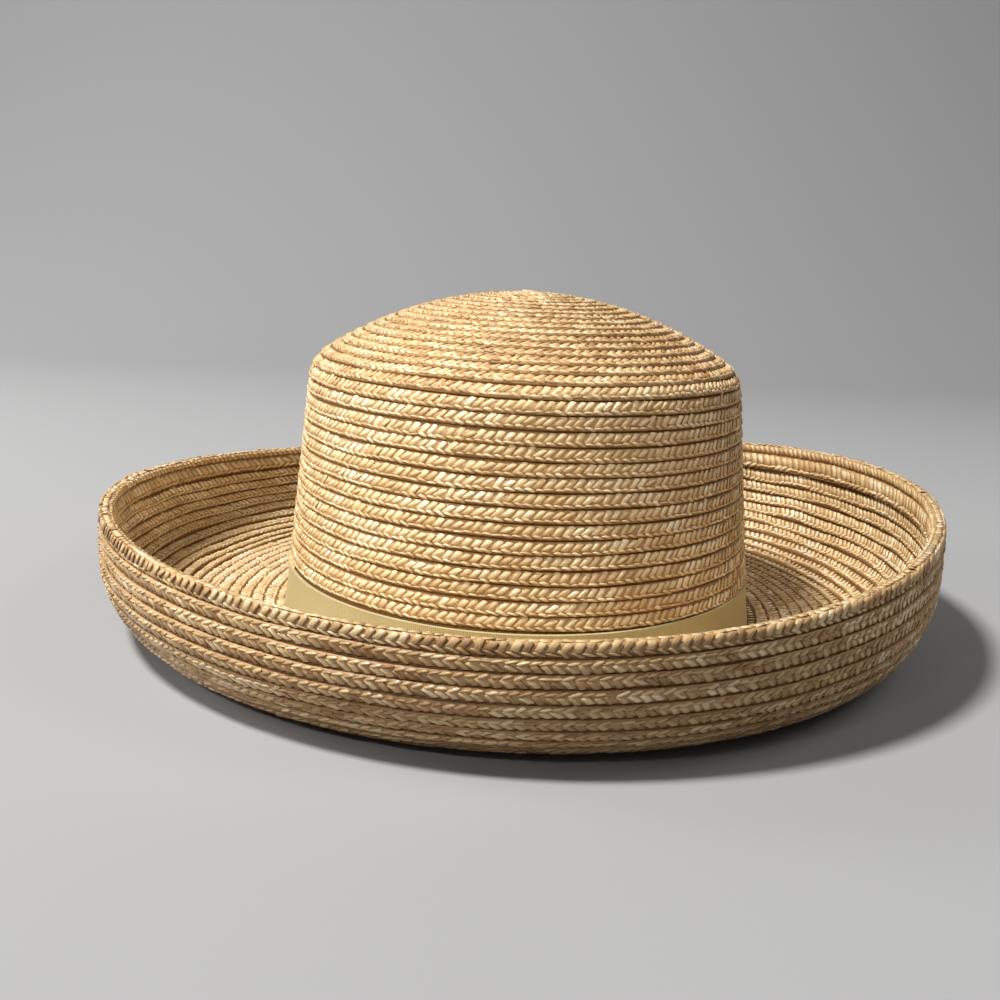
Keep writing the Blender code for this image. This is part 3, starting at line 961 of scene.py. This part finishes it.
def fibre_group():
    """Long fine streaks: Place in, Streak and Height out."""
    tree = bpy.data.node_groups.new("plant_fibre", "ShaderNodeTree")
    tree.interface.new_socket("Place", in_out="INPUT", socket_type="NodeSocketVector")
    for name, way in (("Across", "INPUT"), ("Along", "INPUT"), ("Streak", "OUTPUT"), ("Height", "OUTPUT")):
        tree.interface.new_socket(name, in_out=way, socket_type="NodeSocketFloat")
    entry = add_node(tree, "NodeGroupInput")
    leave = add_node(tree, "NodeGroupOutput")
    split = add_node(tree, "ShaderNodeSeparateXYZ")
    join = add_node(tree, "ShaderNodeCombineXYZ")
    tree.links.new(entry.outputs["Place"], split.inputs[0])
    for axis, way in (("X", "Along"), ("Y", "Across")):
        stretched = math_node(tree, "MULTIPLY", split.outputs[axis], entry.outputs[way])
        tree.links.new(stretched, join.inputs[axis])
    tree.links.new(split.outputs["Z"], join.inputs["Z"])
    streak = noise(tree, join.outputs[0], scale=1.0, detail=3.0, rough=0.6)
    tree.links.new(streak, leave.inputs["Streak"])
    tree.links.new(spread(tree, streak, 0.0, 1.0), leave.inputs["Height"])
    return tree


FIBRE = fibre_group()


def fibre(tree, place, across, along):
    node = add_node(tree, "ShaderNodeGroup", node_tree=FIBRE)
    node.inputs["Across"].default_value = across
    node.inputs["Along"].default_value = along
    tree.links.new(place, node.inputs["Place"])
    return node


def new_material(name):
    material = bpy.data.materials.new(name)
    material.use_nodes = True
    tree = material.node_tree
    return material, tree, tree.nodes["Principled BSDF"]


def bump(tree, shader, height, strength, distance):
    node = add_node(tree, "ShaderNodeBump")
    node.inputs["Strength"].default_value = strength
    node.inputs["Distance"].default_value = distance
    tree.links.new(height, node.inputs["Height"])
    tree.links.new(node.outputs["Normal"], shader.inputs["Normal"])


# %% [markdown]
# The strands mix four things into one tone: the straw's own, its fibres, a slow drift over the hat, and
# shine, for clusters of glossy straws, which are also painted paler as a painted highlight. A ramp turns
# the tone into colour, from dark brown to nearly white. Shine also lowers the roughness and adds a coat.
# The shell, which shows only in the gaps between the rows, is painted dark brown, a painted shade.


# %% Straw
STRAW_STOPS = (
    (0.00, (0.260, 0.125, 0.040)),
    (0.30, (0.560, 0.380, 0.180)),
    (0.62, (0.730, 0.560, 0.320)),
    (1.00, (0.930, 0.820, 0.600)),
)
# The shell's dark browns are painted shade for the gaps between the rows.
SHELL_SHADE_STOPS = (
    (0.3, (0.150, 0.072, 0.022)),
    (0.7, (0.280, 0.150, 0.050)),
)
OWN_SHARE = 0.32
FIBRE_SHARE = 0.36
DRIFT_SHARE = 0.28
# The share of shine in the tone is a painted highlight; its lower roughness and coat are real gloss.
SHINE_HIGHLIGHT_SHARE = 0.32
DULL_ROUGHNESS = 0.50
SHINE_POLISH = 0.22
SHINE_COAT = 0.9


def attribute(tree, name):
    return add_node(tree, "ShaderNodeAttribute", attribute_name=name).outputs["Fac"]


def object_place(tree):
    return add_node(tree, "ShaderNodeTexCoord").outputs["Object"]


def blend(tree, parts):
    """The sum of values, each times its share."""
    (first, share), *others = parts
    total = math_node(tree, "MULTIPLY", first, share)
    for value, share in others:
        total = math_node(tree, "ADD", total, math_node(tree, "MULTIPLY", value, share))
    return total


def strand_material():
    material, tree, shader = new_material("straw_strands")
    grain = add_node(tree, "ShaderNodeUVMap", uv_map="grain").outputs["UV"]
    fibres = fibre(tree, grain, across=2600.0, along=420.0)
    shine = spread(tree, attribute(tree, "shine"), 0.0, 1.0)
    tone = blend(tree, (
        (attribute(tree, "tone"), OWN_SHARE),
        (fibres.outputs["Streak"], FIBRE_SHARE),
        (noise(tree, object_place(tree), scale=14.0), DRIFT_SHARE),
        # Shine paints glossy straws paler: a painted highlight.
        (shine, SHINE_HIGHLIGHT_SHARE),
    ))
    tree.links.new(ramp(tree, tone, STRAW_STOPS), shader.inputs["Base Color"])
    rough = math_node(tree, "SUBTRACT", DULL_ROUGHNESS, math_node(tree, "MULTIPLY", shine, SHINE_POLISH))
    tree.links.new(rough, shader.inputs["Roughness"])
    tree.links.new(math_node(tree, "MULTIPLY", shine, SHINE_COAT), shader.inputs["Coat Weight"])
    shader.inputs["Coat Roughness"].default_value = 0.22
    bump(tree, shader, fibres.outputs["Height"], strength=0.35, distance=0.15 * MM)
    return material


def shell_material():
    material, tree, shader = new_material("straw_shell")
    coarse = noise(tree, object_place(tree), scale=900.0, detail=3.0, rough=0.6)
    # Painted shade: the shell is dark brown because it shows only in the gaps.
    tree.links.new(ramp(tree, coarse, SHELL_SHADE_STOPS), shader.inputs["Base Color"])
    shader.inputs["Roughness"].default_value = 0.75
    bump(tree, shader, coarse, strength=0.5, distance=0.3 * MM)
    return material


# %% [markdown]
# The ribbon is matt, with a faint sheen at its edges, as tightly packed threads have. Its colour is an
# olive gold that varies a little, slowly over the ribbon and finely from thread to thread.

# %% Grosgrain
RIBBON_STOPS = (
    (0.3, (0.360, 0.290, 0.125)),
    (0.7, (0.480, 0.395, 0.185)),
)
SLOW_SHARE = 0.6
FINE_SHARE = 0.4


def ribbon_material():
    material, tree, shader = new_material("grosgrain")
    place = object_place(tree)
    fine = noise(tree, place, scale=1800.0, detail=2.0, rough=0.6)
    tone = blend(tree, ((noise(tree, place, scale=30.0), SLOW_SHARE), (fine, FINE_SHARE)))
    tree.links.new(ramp(tree, tone, RIBBON_STOPS), shader.inputs["Base Color"])
    shader.inputs["Roughness"].default_value = 0.62
    shader.inputs["Sheen Weight"].default_value = 0.25
    bump(tree, shader, fine, strength=0.3, distance=0.08 * MM)
    return material


STRAW = strand_material()
SHELL = shell_material()
RIBBON = ribbon_material()
print("materials:", ", ".join(material.name for material in (STRAW, SHELL, RIBBON)))

# %% [markdown]
# ## Putting it together
#
# Straw doesn't move by itself, so every piece rides on the one body. The shells and the ribbon stand
# for the solids; the strands lie on them.

# %% Ride, replace and paint
SHELLS = {
    crown_shell: ("crown_side", "crown_tip"),
    brim_shell: ("brim_floor", "brim_roll", "brim_wall"),
    facing_shell: ("rim_facing",),
}
BRAIDS = (crown_side_braid, crown_tip_braid, crown_inside_braid, tip_knot, loose_ends, brim_outside_braid,
          brim_under_braid, brim_inside_braid, brim_floor_braid, rim_braid, facing_braid)


def finish_piece(piece, material, nodes=()):
    piece.data.materials.clear()
    piece.data.materials.append(material)
    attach(piece, "root")
    if nodes:
        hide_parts(*nodes)


for shell, nodes in SHELLS.items():
    finish_piece(shell, SHELL, nodes)
for piece in BRAIDS:
    finish_piece(piece, STRAW)
finish_piece(hat_ribbon, RIBBON, ("hat_band",))
print("triangles in all:", sum(len(piece.data.loops) - 2 * len(piece.data.polygons)
                               for piece in (*SHELLS, *BRAIDS, hat_ribbon)))

# %% [markdown]
# ## Floor and light
#
# A plain pale sweep, so that nothing competes with the straw. One fairly small lamp high on the left
# draws the rows and throws the crown's shadow on the brim. A weak low one grazes the wall from the
# left, a wide weak one keeps the right side readable, and a narrow spot lifts the front of the crown,
# which the high lamp only grazes.

# %% Floor and light
SWEEP_SIZE = 6.0
SWEEP_BACK = 1.6
SWEEP_HEIGHT = 2.5
SWEEP_CORNER = 0.7
NEAR = 0.1
WARM = (1.0, 0.96, 0.90)
WARMER = (1.0, 0.95, 0.88)


def make_sweep():
    deselect_all()
    bpy.ops.mesh.primitive_plane_add(size=SWEEP_SIZE, location=(0, SWEEP_BACK - SWEEP_SIZE / 2, 0))
    sweep = bpy.context.object
    sweep.name = "sweep"
    bpy.ops.object.transform_apply(location=True, rotation=False, scale=False)
    select_vertices(sweep, np.flatnonzero(coordinates(sweep)[:, 1] > SWEEP_BACK - NEAR))
    bpy.ops.mesh.extrude_region_move(TRANSFORM_OT_translate={"value": (0, 0, SWEEP_HEIGHT)})
    bpy.ops.object.mode_set(mode="OBJECT")
    _, depth, height = coordinates(sweep).T
    select_vertices(sweep, np.flatnonzero((depth > SWEEP_BACK - NEAR) & (height < NEAR)))
    bpy.ops.mesh.bevel(offset=SWEEP_CORNER, segments=16, affect="EDGES")
    bpy.ops.object.mode_set(mode="OBJECT")
    sweep.data.shade_smooth()
    material, _, shader = new_material("pale_sweep")
    shader.inputs["Base Color"].default_value = (0.31, 0.32, 0.34, 1.0)
    shader.inputs["Roughness"].default_value = 0.9
    sweep.data.materials.append(material)


def aim_lamp(data, place, target, power, colour):
    data.energy = power
    data.color = colour
    lamp = bpy.data.objects.new(data.name, data)
    bpy.context.scene.collection.objects.link(lamp)
    lamp.location = place
    lamp.rotation_euler = (Vector(target) - lamp.location).to_track_quat("-Z", "Y").to_euler()


def add_lamp(name, place, size, power, colour):
    data = bpy.data.lights.new(name, "AREA")
    data.shape = "DISK"
    data.size = size
    aim_lamp(data, place, (0, 0, 0), power, colour)


def add_spot(name, place, target, cone, power, colour):
    data = bpy.data.lights.new(name, "SPOT")
    data.spot_size = math.radians(cone)
    data.spot_blend = 1.0
    data.shadow_soft_size = 0.06
    aim_lamp(data, place, target, power, colour)


make_sweep()
add_lamp("high_left", (-0.98, -0.40, 2.09), size=0.40, power=80.0, colour=WARM)
add_lamp("low_left", (-1.40, 0.30, 0.55), size=0.50, power=8.5, colour=WARM)
add_lamp("wide_right", (0.95, -0.10, 1.10), size=0.80, power=4.2, colour=WARMER)
add_spot("crown_spot", (-0.60, -1.00, 0.85), (-0.012, -0.05, 0.035), cone=9.4, power=64.0, colour=WARM)
world = bpy.data.worlds.new("room")
bpy.context.scene.world = world
world.use_nodes = True
background = world.node_tree.nodes["Background"]
background.inputs["Color"].default_value = (0.90, 0.90, 0.90, 1.0)
background.inputs["Strength"].default_value = 0.12
bpy.context.scene.view_settings.view_transform = "Standard"
print("lamps:", ", ".join(lamp.name for lamp in bpy.data.lights))

# %% [markdown]
# ## Camera
#
# Place, pitch and roll come from fitting the hat's outline to the photograph. They could be found by
# hand in the viewport, but a fit is closer. The lens is in millimetres on Blender's 36 mm sensor.

# %% Camera
CAMERA_PLACE = (-0.00756, -0.4584, 0.1314)
CAMERA_PITCH = -0.198
CAMERA_ROLL = 0.0386
LENS = 43.4
SENSOR = 36.0
CLIP_START = 0.01

camera_data = bpy.data.cameras.new("photo_view")
camera_data.lens = LENS
camera_data.sensor_width = SENSOR
camera_data.clip_start = CLIP_START
camera = bpy.data.objects.new("photo_view", camera_data)
bpy.context.scene.collection.objects.link(camera)
pitch = Matrix.Rotation(math.pi / 2 + CAMERA_PITCH, 4, "X")
camera.matrix_world = Matrix.Translation(CAMERA_PLACE) @ pitch @ Matrix.Rotation(CAMERA_ROLL, 4, "Z")
bpy.context.scene.camera = camera
